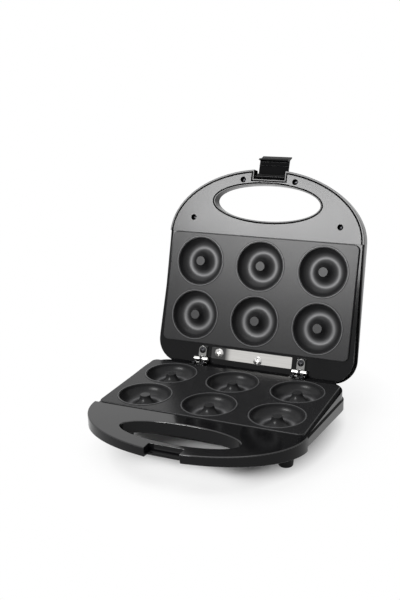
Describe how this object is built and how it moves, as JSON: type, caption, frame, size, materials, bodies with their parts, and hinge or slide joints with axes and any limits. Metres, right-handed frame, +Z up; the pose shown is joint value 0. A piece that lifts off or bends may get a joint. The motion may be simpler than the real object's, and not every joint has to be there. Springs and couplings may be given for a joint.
{
  "type": "donut maker",
  "caption": "Hinged electric donut maker with ring-mould plates in both halves, crescent handles with finger openings and a swing-down latch clip.",
  "frame": {"origin": "on the worktop, under the middle of the outline with the lid open", "axes": "+X to the right, +Y to the hinge at the rear, +Z up"},
  "size_m": [0.2314, 0.3066, 0.2573],
  "materials": {
    "gloss_black": "high gloss black moulding",
    "matte_cover": "matte dark grey moulding",
    "nonstick": "dark satin non-stick coating on cast aluminium",
    "steel": "bright zinc-plated steel",
    "element": "dull steel sheath",
    "shield": "mill finish sheet",
    "foot": "matte black moulding",
    "red": "clear red",
    "green": "clear green",
    "lamp": "clear glass",
    "electrical": "pale heat-proof moulding"
  },
  "bodies": {
    "base": {"base_tub": "gloss_black", "base_handle": "gloss_black", "base_handle_underside": "gloss_black", "base_handle_screws": "steel", "tub_handle_screws": "steel", "base_plate": "nonstick", "base_plate_screws": "steel", "base_heating_element": "element", "base_heat_shield": "shield", "thermostat": "electrical", "thermal_fuse": "electrical", "terminal_block": "electrical", "hinge_base_leaf_left": "steel", "hinge_base_leaf_right": "steel", "hinge_pin_left": "steel", "hinge_pin_right": "steel", "hinge_base_screws": "steel", "foot_front_left": "foot", "foot_front_right": "foot", "foot_rear_left": "foot", "foot_rear_right": "foot"},
    "lid": {"lid_shell": "gloss_black", "lid_top_cover": "matte_cover", "lid_handle_panel": "gloss_black", "lid_handle_screws": "steel", "lid_plate": "nonstick", "lid_plate_screws": "steel", "lid_heating_element": "element", "lid_heat_shield": "shield", "lens_bezel": "gloss_black", "red_lens": "red", "green_lens": "green", "indicator_lamps": "lamp", "hinge_lid_leaf_left": "steel", "hinge_lid_leaf_right": "steel", "hinge_lid_screws": "steel", "rear_strip": "steel", "rear_strip_screws": "steel", "latch_pin": "steel"},
    "latch": {"latch_clip": "gloss_black"}
  },
  "joints": [
    {"name": "lid_hinge", "type": "hinge", "parent": "base", "child": "lid", "pos_m": [0, 0.06094, 0.0427], "axis": [1, 0, 0], "range_deg": [0, 108]},
    {"name": "latch_pivot", "type": "hinge", "parent": "lid", "child": "latch", "pos_m": [0, 0.13209, 0.23803], "axis": [1, 0, 0], "range_deg": [0, 95]}
  ]
}
